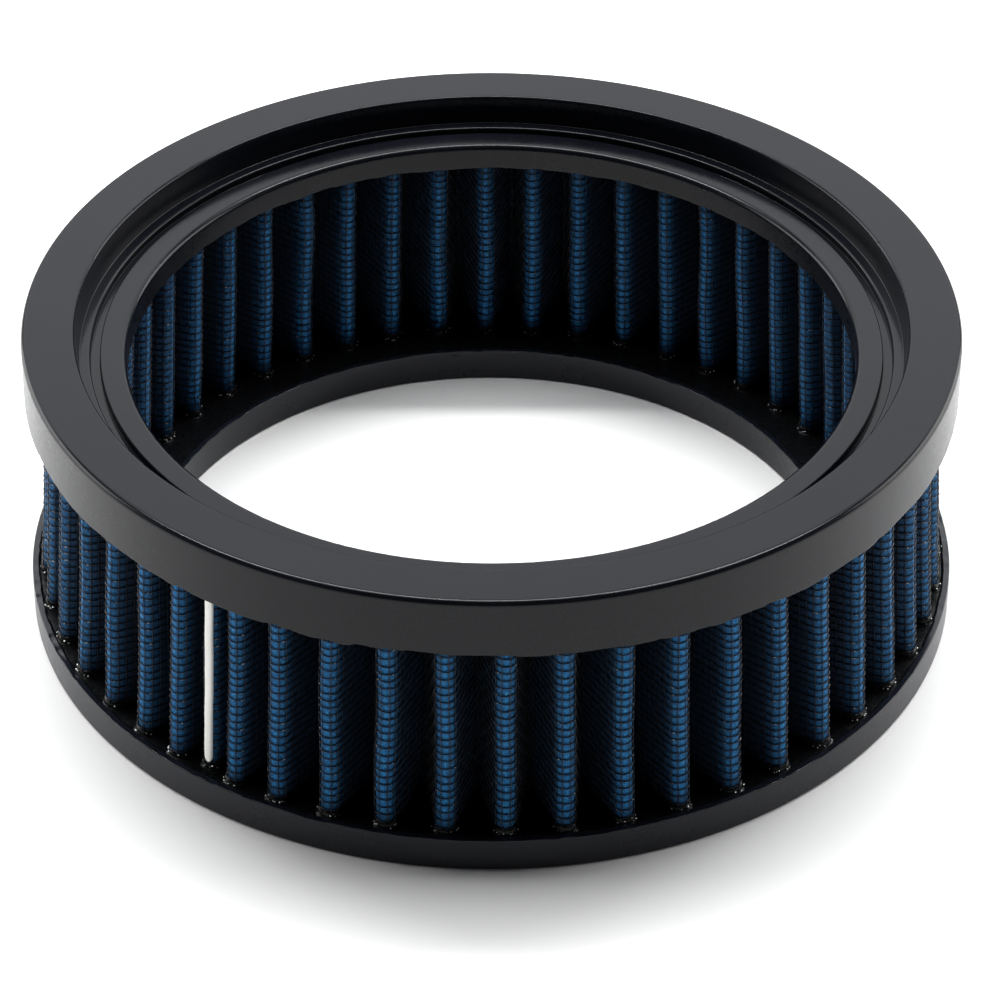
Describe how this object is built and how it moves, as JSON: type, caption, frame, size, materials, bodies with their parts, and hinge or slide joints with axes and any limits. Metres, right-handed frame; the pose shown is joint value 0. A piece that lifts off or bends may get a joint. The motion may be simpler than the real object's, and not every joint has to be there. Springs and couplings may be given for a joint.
{
  "type": "round pleated air filter element",
  "caption": "Round washable air filter element: pleated cotton gauze between wire screens, potted into two moulded urethane end rings with an open centre.",
  "frame": {"origin": "on the element's centre axis, at the flat underside of the bottom ring", "axes": "+Z along the centre axis towards the stepped top ring; the seam strip stands in the -X -Y quarter"},
  "size_m": [0.1534, 0.1534, 0.0521],
  "materials": {
    "urethane": "satin moulded polyurethane, charcoal",
    "screen_wire": "dark coated woven wire",
    "cotton_gauze": "oiled cotton gauze, blue",
    "white_plastic": "smooth warm white"
  },
  "bodies": {
    "root": {"top_end_ring": "urethane", "bottom_end_ring": "urethane", "outer_wire_screen": "screen_wire", "gauze_ply_1": "cotton_gauze", "gauze_ply_2": "cotton_gauze", "gauze_ply_3": "cotton_gauze", "gauze_ply_4": "cotton_gauze", "inner_wire_screen": "screen_wire", "seam_strip": "white_plastic"}
  },
  "joints": []
}
